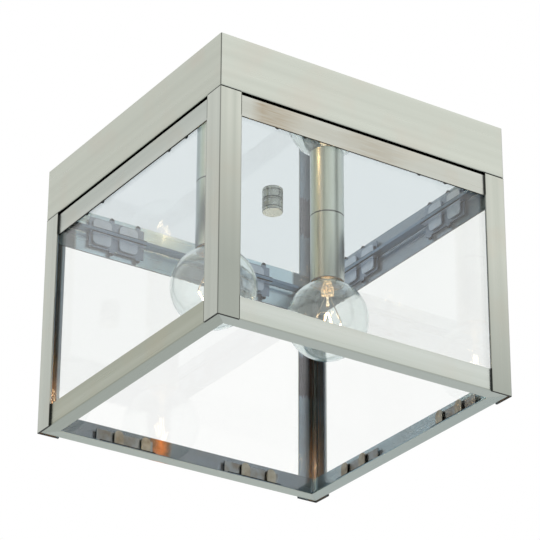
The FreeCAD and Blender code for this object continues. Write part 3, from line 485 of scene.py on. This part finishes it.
def lathe(outline, steps, ring=False):
    """Turns an outline of (radius, height) places in mm about the upright axis."""
    shape = bmesh.new()
    dots = [shape.verts.new((radius * MM, 0, height * MM)) for radius, height in outline]
    pairs = zip(dots, dots[1:] + dots[:1] if ring else dots[1:])
    edges = [shape.edges.new(pair) for pair in pairs]
    bmesh.ops.spin(shape, geom=dots + edges, cent=(0, 0, 0), axis=(0, 0, 1), dvec=(0, 0, 0),
                   angle=math.tau, steps=steps, use_merge=True, use_duplicate=False)
    bmesh.ops.remove_doubles(shape, verts=shape.verts, dist=MM / 1000)
    bmesh.ops.recalc_face_normals(shape, faces=shape.faces)
    return shape


def piece(name, shape, finish, body, slot, *stands_for):
    """A new piece from a shape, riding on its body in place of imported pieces."""
    mesh = bpy.data.meshes.new(name)
    shape.to_mesh(mesh)
    shape.free()
    mesh.materials.append(finish)
    made = bpy.data.objects.new(name, mesh)
    bpy.context.scene.collection.objects.link(made)
    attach(made, body)
    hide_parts(*stands_for)
    return made


def smooth(shape, sharp_angle):
    """Smooth faces, but for edges that turn by more than an angle in degrees."""
    for face in shape.faces:
        face.smooth = True
    for edge in shape.edges:
        if len(edge.link_faces) == 2:
            edge.smooth = edge.calc_face_angle() < math.radians(sharp_angle)


finish = blank("turned_nickel")
place = add(finish, "TexCoord")
# Lathe rings 0.5 mm apart on the flat end, drawn coarser than they are so that they show.
rings = add(finish, "TexWave", {"Vector": (place, "Object"), "Scale": 1000 / 0.5 / 20,
                                "Distortion": 0.4}, wave_type="RINGS", rings_direction="Z")
worn = add(finish, "TexNoise", {"Vector": (place, "Object"), "Scale": 1000 / 2.2, "Detail": 3.0})
plate = add(finish, "Mix", {0: (worn, "Fac"), 6: linear("#AEB5B0"),
                            7: linear("#BABDB4")}, data_type="RGBA")
_, _, apart = distances(finish)
end = add(finish, "MapRange", {"Value": (apart, 2), "From Min": 0.04515, "From Max": 0.04519})
plate = add(finish, "Mix", {0: (end, 0), 6: (plate, 2), 7: linear("#D6D5C4")}, data_type="RGBA")
# Dark lines are painted in the groove, under the rim and where the knob meets the washer.
for ring, half_width in ((0.0376, 0.0004), (0.04295, 0.00025), (0.0449, 0.0002)):
    dark_line = add(finish, "Math", {0: (apart, 2), 1: ring, 2: half_width}, operation="COMPARE")
    dark_line = add(finish, "Math", {0: (dark_line, 0), 1: 0.75}, operation="MULTIPLY")
    plate = add(finish, "Mix", {0: (dark_line, 0), 6: (plate, 2), 7: linear("#3A3F3B")},
                data_type="RGBA")
rough = add(finish, "MapRange", {"Value": (worn, "Fac"), "From Min": 0.3,
                                 "From Max": 0.7, "To Min": 0.22, "To Max": 0.38})
cuts = add(finish, "Bump", {"Height": (rings, "Fac"), "Strength": 0.15, "Distance": 0.00002})
metal(finish, (plate, 2), (rough, 0), (cuts, 0))

knob_radius = 6.6
knob_low, knob_high = -45.2, -37.4
band_low, band_high = -42.7, -38.2
knurl_rows, knurls, knurl_depth = 10, 88, 0.25
knurl_row = (band_high - band_low) / knurl_rows
rows = [(knob_radius, band_low + row * knurl_row) for row in range(knurl_rows + 1)]
shape = lathe([(0, knob_low), (6.2, knob_low), (6.45, -45.08), (knob_radius, -44.8),
               (knob_radius, -43.15), (6.25, -43.1), (6.25, -42.75)] + rows
              + [(knob_radius, -37.6), (6.4, knob_high), (3.25, knob_high), (3.25, -44.0),
                 (0, -44.0)], knurls)
for vert in shape.verts:
    row = round((vert.co.z / MM - band_low) / knurl_row)
    turn = round(math.atan2(vert.co.y, vert.co.x) / math.tau * knurls)
    on_rim = math.hypot(vert.co.x, vert.co.y) > 6.5 * MM
    if 0 < row < knurl_rows and on_rim and (row + turn) % 2:
        vert.co.xy *= 1 - knurl_depth / knob_radius
smooth(shape, 25)
piece("knurled_knob", shape, finish, "knob", "brushed_nickel", "knob")
dress(finish, "knob_washer")

# Lamp tubes: drawn steel tubes over the lampholders, nickel plated and brushed up and
# down. Broad upright bands of straw and green grey are painted round them as painted reflections.
# Where a tube meets the mirror plate there is a dark joint, and its bore is painted gold above the
# bulb, as heat tint and as painted light of the coil.
lamps = (("left", -42), ("right", 42))
# Painted reflections round the side that faces left, where the left tube is a little bluer.
left_reflections = {"left": ("#B7C8C4", "#CFD9C2", "#E6E2D4", "#C8D6CC", "#A6B4BF"),
              "right": ("#BBC3B1", "#CFCEAC", "#E6D8BC", "#C8CCB6", "#AEB8B9")}
for lamp, lamp_x in lamps:
    left_reflection = left_reflections[lamp]
    finish = blank("brushed_nickel_tube_" + lamp)
    colour, rough, grooves = nickel(finish, (0.9, 0.9, 120), "#FFFFFF", "#E8E8E6", "#F2EBDD",
                                    0.3)
    place = add(finish, "TexCoord")
    axis = add(finish, "Mapping", {"Vector": (place, "Object"), "Location": [-lamp_x * MM, 0, 0]})
    round_axis = add(finish, "SeparateXYZ", {0: (axis, 0)})
    turn = add(finish, "Math", {0: (round_axis, 1), 1: (round_axis, 0)}, operation="ARCTAN2")
    share = add(finish, "MapRange", {"Value": (turn, 0), "From Min": -math.pi,
                                     "From Max": math.pi})
    # The bands by the angle round the tube are painted reflections.
    bands = add(finish, "ValToRGB", {"Fac": (share, 0)})
    ramp = bands.color_ramp.elements
    ramp[0].color = ramp[1].color = linear(left_reflection[0])
    for spot, code in ((0.05, left_reflection[1]), (0.09, left_reflection[2]), (0.13, left_reflection[3]),
                       (0.215, "#E4EADD"), (0.255, "#B8C1B5"), (0.285, "#DCE3DA"),
                       (0.35, "#C2CBC8"), (0.4, "#A3ADAB"), (0.5, "#B7BFB0"), (0.6, "#E8DCC0"),
                       (0.7, "#AEB6A7"), (0.8, "#CFD6CC"), (0.93, left_reflection[4])):
        ramp.new(spot).color = linear(code)
    reflection_banded = add(finish, "Mix", {0: 1.0, 6: (bands, 0), 7: (colour, 2)},
                 data_type="RGBA", blend_type="MULTIPLY")
    _, _, apart = distances(finish)
    # The joint at the mirror plate, and the mouth.
    shown = reflection_banded
    for starts, full in ((0.0375, 0.0373), (0.0836, 0.0838)):
        end = add(finish, "MapRange", {"Value": (apart, 2), "From Min": starts,
                                       "From Max": full, "To Max": 0.85})
        shown = add(finish, "Mix", {0: (end, 0), 6: (shown, 2), 7: linear("#25261F")},
                    data_type="RGBA")
    reach = add(finish, "Math", {0: (round_axis, 0), 1: (round_axis, 0)}, operation="MULTIPLY")
    reach = add(finish, "Math", {0: (round_axis, 1), 1: (round_axis, 1), 2: (reach, 0)},
                operation="MULTIPLY_ADD")
    # The bore is painted gold, as heat tint and as painted light of the coil.
    lit_bore = add(finish, "MapRange", {"Value": (reach, 0), "From Min": 0.0106 ** 2,
                                    "From Max": 0.0104 ** 2})
    shown = add(finish, "Mix", {0: (lit_bore, 0), 6: (shown, 2), 7: linear("#C09652")},
                data_type="RGBA")
    metal(finish, (shown, 2), (rough, 0), (grooves, 0))
    dress(finish, "lamp_tube_" + lamp)

# Lampholders: a phenolic body moulded in two halves, a rolled brass screw shell and a
# sprung brass contact. The phenolic is near black with a fine speckle and a low gloss,
# and the brass is yellow with brown tarnish.


def grained(finish, size, detail, low, high, gloss, strength, depth):
    """Colour, roughness and bump from grains. The grains' size and the depth are in mm."""
    place = add(finish, "TexCoord")
    grain = add(finish, "TexNoise", {"Vector": (place, "Object"), "Scale": 1000 / size,
                                     "Detail": detail})
    tone = add(finish, "Mix", {0: (grain, "Fac"), 6: linear(low), 7: linear(high)},
               data_type="RGBA")
    rough = add(finish, "MapRange", {"Value": (grain, "Fac"), "From Min": 0.3,
                                     "From Max": 0.7, "To Min": gloss[0], "To Max": gloss[1]})
    bump = add(finish, "Bump", {"Height": (grain, "Fac"), "Strength": strength,
                                "Distance": depth * MM})
    return (tone, 2), (rough, 0), (bump, 0)


def moulded(finish, refraction, colour, rough, bump):
    """Ends a finish as plastic."""
    shader = add(finish, "BsdfPrincipled", {"Base Color": colour, "IOR": refraction,
                                            "Roughness": rough, "Normal": bump})
    add(finish, "OutputMaterial", {"Surface": (shader, 0)})


phenolic = blank("phenolic")
moulded(phenolic, 1.55, *grained(phenolic, 0.8, 2.0, "#211D1A", "#38322C", (0.35, 0.5), 0.2, 0.04))
dress(phenolic, "lampholder_left", "lampholder_right")

brass = blank("rolled_brass")
metal(brass, *grained(brass, 5, 4.0, "#D9BE7C", "#A8854A", (0.18, 0.35), 0.1, 0.05))
dress(brass, "screw_shell_left", "screw_shell_right", "centre_contact_left",
      "centre_contact_right")

# Bulb caps: thin brass rolled to a screw thread, a black glass insulator in the end and
# a blob of solder as the contact. The cap is bright yellow with fine rubs, the insulator
# shiny, and the solder dull.
cap_metal = blank("bright_rolled_brass")
metal(cap_metal, *grained(cap_metal, 1.5, 3.0, "#D0AE68", "#E8CE92", (0.2, 0.35), 0.1, 0.03))
dress(cap_metal, "bulb_cap_left", "bulb_cap_right")

black_glass = blank("black_insulator_glass")
place = add(black_glass, "TexCoord")
swirl = add(black_glass, "TexNoise", {"Vector": (place, "Object"), "Scale": 1000 / 3,
                                      "Detail": 2.0})
tone = add(black_glass, "Mix", {0: (swirl, "Fac"), 6: linear("#141216"),
                                7: linear("#2B2730")}, data_type="RGBA")
shader = add(black_glass, "BsdfPrincipled", {"Base Color": (tone, 2), "Roughness": 0.08,
                                             "IOR": 1.52})
add(black_glass, "OutputMaterial", {"Surface": (shader, 0)})
dress(black_glass, "bulb_insulator_left", "bulb_insulator_right")

solder = blank("tin_solder")
metal(solder, *grained(solder, 0.9, 3.0, "#9A9B9B", "#BFC0BF", (0.35, 0.55), 0.3, 0.05))
dress(solder, "bulb_contact_left", "bulb_contact_right")

# Bulbs: clear globes blown in one piece with their necks, with a glass stem sealed in.
# The wall is 0.7 mm thick and slightly uneven, so the rims are grey green and what is
# seen through them is mottled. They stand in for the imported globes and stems.
blown_glass = blank("blown_glass")
place = add(blown_glass, "TexCoord")
uneven = add(blown_glass, "TexNoise", {"Vector": (place, "Object"), "Scale": 1000 / 9,
                                       "Detail": 2.0})
wall = add(blown_glass, "Bump", {"Height": (uneven, "Fac"), "Strength": 1.0, "Distance": 0.00012})
tone = add(blown_glass, "Mix", {0: (uneven, "Fac"), 6: linear("#F8FDFC"),
                                7: linear("#FEFFFF")}, data_type="RGBA")
clear(blown_glass, (tone, 2), 0.0, (wall, 0), 0.99, 0.3)

stem_glass = blank("pressed_stem_glass")
place = add(stem_glass, "TexCoord")
bubbles = add(stem_glass, "TexNoise", {"Vector": (place, "Object"), "Scale": 1000 / 1.2,
                                       "Detail": 3.0})
skin = add(stem_glass, "Bump", {"Height": (bubbles, "Fac"), "Strength": 1.0, "Distance": 0.0001})
tone = add(stem_glass, "Mix", {0: (bubbles, "Fac"), 6: linear("#F4E9CE"), 7: linear("#FFFDF6")},
           data_type="RGBA")
stem_shader = clear(stem_glass, (tone, 2), 0.1, (skin, 0), 0.85)
# The stem is given a painted amber glow in its bubbles, standing in for the coil's light caught in
# the glass.
stem_glow = add(stem_glass, "MapRange", {"Value": (bubbles, "Fac"), "From Min": 0.5,
                                       "From Max": 0.62, "To Min": 0.03, "To Max": 0.8})
stem_shader.inputs["Emission Color"].default_value = linear("#FFD296")
stem_glass.node_tree.links.new(stem_glow.outputs[0], stem_shader.inputs["Emission Strength"])

globe_radius, globe_centre, globe_wall = 26.2, -109.6, 0.7
neck_radius, neck_high, fillet_radius = 5.95, -77.6, 7.0
fillet_steps, globe_sides, stem_sides = 8, 96, 32


def globe_outline(grow, steps):
    """Neck, fillet and globe down to the pole, moved out by grow, as (radius, height) places."""
    swing = neck_radius + fillet_radius
    rise = math.sqrt((globe_radius + fillet_radius) ** 2 - swing ** 2)
    lean = math.atan2(swing, rise)
    places = [(neck_radius + grow, neck_high - grow)]
    for step in range(steps + 1):
        angle = math.pi / 2 - (math.pi / 2 - lean) * step / steps
        places.append((swing - (fillet_radius - grow) * math.sin(angle),
                       globe_centre + rise - (fillet_radius - grow) * math.cos(angle)))
    for step in range(1, 4 * steps):
        angle = lean + (math.pi - lean) * step / (4 * steps)
        places.append(((globe_radius + grow) * math.sin(angle),
                       globe_centre + (globe_radius + grow) * math.cos(angle)))
    return places + [(0, globe_centre - globe_radius - grow)]


def moved(shape, x):
    """The shape moved along x, in mm."""
    bmesh.ops.translate(shape, verts=shape.verts, vec=(x * MM, 0, 0))
    return shape


# The press round the lead wires is squeezed flat and wide while the glass is hot. It lies in
# the filament's plane, which is turned 33 degrees from the front.
press_starts, press_full, press_ends = 82, 88, 93.5
press_widening, press_flattening = 0.78, 0.45
filament_turn = Matrix.Rotation(math.radians(-33), 3, "Z")
stem_places = [(0, -77.7), (4.95, -77.7), (5.0, -78.3), (4.4, -79.2), (3.0, -80.4), (2.4, -82.0),
               (2.3, -84.0), (2.3, -86.0), (2.3, -88.0), (2.3, -90.0), (2.3, -91.5), (2.2, -92.5),
               (1.8, -93.0), (0.75, -93.15), (0.7, -94.0), (0.7, -97.8), (1.0, -98.1),
               (1.2, -98.5), (1.2, -99.3), (0.9, -99.65), (0, -99.7)]
for lamp, lamp_x in lamps:
    outer = globe_outline(0, fillet_steps)
    inner = globe_outline(-globe_wall, fillet_steps)
    shape = lathe(inner[::-1] + outer, globe_sides)
    smooth(shape, 60)
    piece("bulb_globe_" + lamp, moved(shape, lamp_x), blown_glass, "bulb_" + lamp,
          "bulb_glass", "bulb_glass_" + lamp)
    shape = lathe(stem_places, stem_sides)
    for vert in shape.verts:
        depth = -vert.co.z / MM
        if depth < press_ends:
            squeeze = (depth - press_starts) / (press_full - press_starts)
            squeeze = min(1, max(0, squeeze))
            vert.co.x *= 1 + press_widening * squeeze
            vert.co.y *= 1 - press_flattening * squeeze
    smooth(shape, 60)
    bmesh.ops.rotate(shape, verts=shape.verts, cent=(0, 0, 0), matrix=filament_turn)
    piece("bulb_press_" + lamp, moved(shape, lamp_x), stem_glass, "bulb_" + lamp,
          "bulb_glass", "bulb_stem_" + lamp)

# Lead wires and filaments: two nickel wires and three hooks hold a coil of tungsten wire
# in a W. The coil is lit and glows amber, and warms the glass round it.
nickel_wire = blank("drawn_nickel_wire")
place = add(nickel_wire, "TexCoord")
# The scratches are 0.4 mm wide and 3.3 mm long.
drawn = add(nickel_wire, "Mapping", {"Vector": (place, "Object"), "Scale": [2500, 2500, 300]})
scratch = add(nickel_wire, "TexNoise", {"Vector": (drawn, 0), "Scale": 1.0})
tone = add(nickel_wire, "Mix", {0: (scratch, "Fac"), 6: linear("#8F897D"),
                                7: linear("#B5AFA2")}, data_type="RGBA")
rough = add(nickel_wire, "MapRange", {"Value": (scratch, "Fac"), "To Min": 0.2, "To Max": 0.4})
skin = add(nickel_wire, "Bump", {"Height": (scratch, "Fac"), "Strength": 0.1, "Distance": 0.00002})
metal(nickel_wire, (tone, 2), (rough, 0), (skin, 0))
dress(nickel_wire, "bulb_wires_left", "bulb_wires_right")

tungsten = blank("lit_tungsten")
place = add(tungsten, "TexCoord")
glow = add(tungsten, "TexNoise", {"Vector": (place, "Object"), "Scale": 1000 / 3})
heat = add(tungsten, "Mix", {0: (glow, "Fac"), 6: linear("#FFCE96"), 7: linear("#FFE2BC")},
           data_type="RGBA")
shader = add(tungsten, "BsdfPrincipled", {"Base Color": linear("#6E6860"), "Metallic": 1.0,
                                          "Roughness": 0.5, "Emission Color": (heat, 2),
                                          "Emission Strength": 55.0})
add(tungsten, "OutputMaterial", {"Surface": (shader, 0)})

coil_radius, coil_wire, coil_pitch, coil_sides = 0.35, 0.13, 0.75, 10
wire_sides, corner_cut = 6, 0.4
filament_places = [Vector((x, 0, z)) for x, z in
                   ((-8.4, -112.15), (-4.9, -118.75), (-3.9, -118.75), (-0.5, -104.55),
                    (0.5, -104.55), (3.9, -118.75), (4.9, -118.75), (8.4, -112.15))]


def spot_along(places, far):
    """The place at a distance along straight runs."""
    for start, end in zip(places, places[1:]):
        run = (end - start).length
        if far <= run:
            return start.lerp(end, far / run)
        far -= run
    return places[-1]


def coil(places):
    """A thin wire wound round a path in the plane of x and z, in mm."""
    shape = bmesh.new()
    length = sum((b - a).length for a, b in zip(places, places[1:]))
    turns = round(length / coil_pitch)
    aside = Vector((0, 1, 0))
    rings = []
    for step in range(turns * coil_sides + 1):
        far = length * step / (turns * coil_sides)
        behind = spot_along(places, max(0, far - corner_cut))
        ahead = spot_along(places, min(length, far + corner_cut))
        way = (ahead - behind).normalized()
        out = way.cross(aside)
        angle = math.tau * step / coil_sides
        spoke = aside * math.cos(angle) + out * math.sin(angle)
        turning = out * math.cos(angle) - aside * math.sin(angle)
        wire_way = (turning * coil_radius + way * coil_pitch / math.tau).normalized()
        beside = wire_way.cross(spoke)
        middle = (ahead + behind) / 2 + spoke * coil_radius
        rings.append([shape.verts.new((middle + coil_wire * (
            spoke * math.cos(side) + beside * math.sin(side))) * MM)
            for side in (math.tau * count / wire_sides for count in range(wire_sides))])
    for low, high in zip(rings, rings[1:]):
        for side in range(wire_sides):
            shape.faces.new((low[side - 1], low[side], high[side], high[side - 1]))
    shape.faces.new(rings[0])
    shape.faces.new(rings[-1][::-1])
    bmesh.ops.recalc_face_normals(shape, faces=shape.faces)
    return shape


for lamp, lamp_x in lamps:
    shape = coil(filament_places)
    bmesh.ops.rotate(shape, verts=shape.verts, cent=(0, 0, 0), matrix=filament_turn)
    smooth(shape, 60)
    piece("bulb_coil_" + lamp, moved(shape, lamp_x), tungsten, "bulb_" + lamp, "filament",
          "bulb_filament_" + lamp)

# Wiring in the canopy: black and white plastic leads, two twist-on connectors with ribs
# for the fingers, and a bare copper wire under two green screws. The plastic has a soft
# gloss, and the copper is dulled in patches.


def plastic(name, low, high, grain_mm, gloss):
    """Plastic, or the dye of the ground screws, with a faint grain."""
    finish = blank(name)
    moulded(finish, 1.5, *grained(finish, grain_mm, 2.0, low, high, (gloss, gloss + 0.15),
                                  0.15, 0.04))
    return finish


dress(plastic("black_pvc", "#161616", "#242424", 1.5, 0.35), "black_leads")
dress(plastic("white_pvc", "#DAD8D0", "#EAE8E2", 1.5, 0.35), "white_leads")
dress(plastic("green_dyed_steel", "#1D5E34", "#2F7A48", 1.0, 0.25), "ground_screws")

copper = blank("bare_copper")
metal(copper, *grained(copper, 6, 3.0, "#D08A62", "#8A5238", (0.22, 0.45), 0.1, 0.04))
dress(copper, "ground_wire")

orange_plastic = plastic("orange_polypropylene", "#C8601C", "#DE7A33", 2.0, 0.4)
ribs, rib_depth_share = 24, 0.07
ribs_high, ribs_low, bore_radius = 4, 21, 3
connector_y, connector_z = 34, -29
shape = bmesh.new()
for side in (-1, 1):
    cone = lathe([(2.6, 0), (5.1, 0), (5.4, 0.4), (5.3, 3.0), (5.0, 5.0), (4.2, 13.0), (3.5, 20.0),
                  (3.0, 21.5), (2.2, 22.0), (0, 22.0), (0, 12.0), (2.6, 12.0)], 2 * ribs, True)
    for vert in cone.verts:
        turn = round(math.atan2(vert.co.y, vert.co.x) / math.tau * 2 * ribs)
        ribbed = ribs_high * MM < vert.co.z < ribs_low * MM
        if turn % 2 and ribbed and vert.co.xy.length > bore_radius * MM:
            vert.co.xy *= 1 - rib_depth_share
    smooth(cone, 20)
    bmesh.ops.rotate(cone, verts=cone.verts, cent=(0, 0, 0),
                     matrix=Matrix.Rotation(math.radians(-90 * side), 3, "X"))
    bmesh.ops.translate(cone, verts=cone.verts,
                        vec=(0, side * connector_y * MM, connector_z * MM))
    held = bpy.data.meshes.new("connector")
    cone.to_mesh(held)
    cone.free()
    shape.from_mesh(held)
    bpy.data.meshes.remove(held)
piece("ribbed_connectors", shape, orange_plastic, "root", "connector_plastic",
      "wire_connectors")

# Floor, light and camera: a plain pale floor a storey below, an even white room, one
# large soft lamp on the front right, and a lens that looks up from the front left.
floor_paint = blank("pale_floor")
place = add(floor_paint, "TexCoord")
mottle = add(floor_paint, "TexNoise", {"Vector": (place, "Object"), "Scale": 2.0, "Detail": 2.0})
tone = add(floor_paint, "Mix", {0: (mottle, "Fac"), 6: linear("#EDEFF1"),
                                7: linear("#F2F4F5")}, data_type="RGBA")
shader = add(floor_paint, "BsdfPrincipled", {"Base Color": (tone, 2), "Roughness": 0.7})
add(floor_paint, "OutputMaterial", {"Surface": (shader, 0)})
floor_reach, floor_height = 9, -2.3
shape = bmesh.new()
bmesh.ops.create_grid(shape, x_segments=1, y_segments=1, size=floor_reach,
                      matrix=Matrix.Translation((0, 0, floor_height)))
floor_mesh = bpy.data.meshes.new("floor")
shape.to_mesh(floor_mesh)
shape.free()
floor_mesh.materials.append(floor_paint)
floor = bpy.data.objects.new("floor", floor_mesh)
bpy.context.scene.collection.objects.link(floor)
floor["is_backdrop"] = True

room = bpy.data.worlds.new("white_room")
room.use_nodes = True
room.node_tree.nodes.clear()
bpy.context.scene.world = room
path = add(room, "LightPath")
lit = add(room, "Background", {"Color": linear("#F8FAFB"), "Strength": 1.0})
seen = add(room, "Background", {"Color": linear("#FFFFFF"), "Strength": 1.0})
straight = add(room, "Math", {0: (path, "Is Camera Ray"), 1: (path, "Is Transmission Ray")},
               operation="MAXIMUM")
both = add(room, "MixShader", {0: (straight, 0), 1: (lit, 0), 2: (seen, 0)})
add(room, "OutputWorld", {"Surface": (both, 0)})

soft_lamp = bpy.data.lights.new("soft_lamp", "AREA")
soft_lamp.shape = "DISK"
soft_lamp.size = 2.2
soft_lamp.energy = 2.5
soft_lamp.color = linear("#FFFBF2")[:3]
lamp_holder = bpy.data.objects.new("soft_lamp", soft_lamp)
bpy.context.scene.collection.objects.link(lamp_holder)
lamp_place, lamp_aim = Vector((1.4, -2.3, 1.3)), Vector((0, 0, -0.1))
lamp_holder.location = lamp_place
lamp_holder.rotation_euler = (lamp_aim - lamp_place).to_track_quat("-Z", "Y").to_euler()

lens = bpy.data.cameras.new("camera")
lens.sensor_width = 36
lens.lens = 180.17
lens.clip_end = 50
camera = bpy.data.objects.new("camera", lens)
bpy.context.scene.collection.objects.link(camera)
camera_place = Vector((-0.83321, -1.27202, -0.84184))
roll = math.radians(-0.2726)
right = Vector((0.8368, -0.5475, 0))
up = Vector((-0.2438, -0.3727, 0.8954))
back = Vector((-0.4902, -0.7492, -0.4454))
turned_right = right * math.cos(roll) - up * math.sin(roll)
turned_up = right * math.sin(roll) + up * math.cos(roll)
axes = Matrix((turned_right, turned_up, back)).transposed()
camera.matrix_world = Matrix.Translation(camera_place) @ axes.to_4x4()
bpy.context.scene.camera = camera
bpy.context.scene.view_settings.view_transform = "Standard"

low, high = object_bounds()
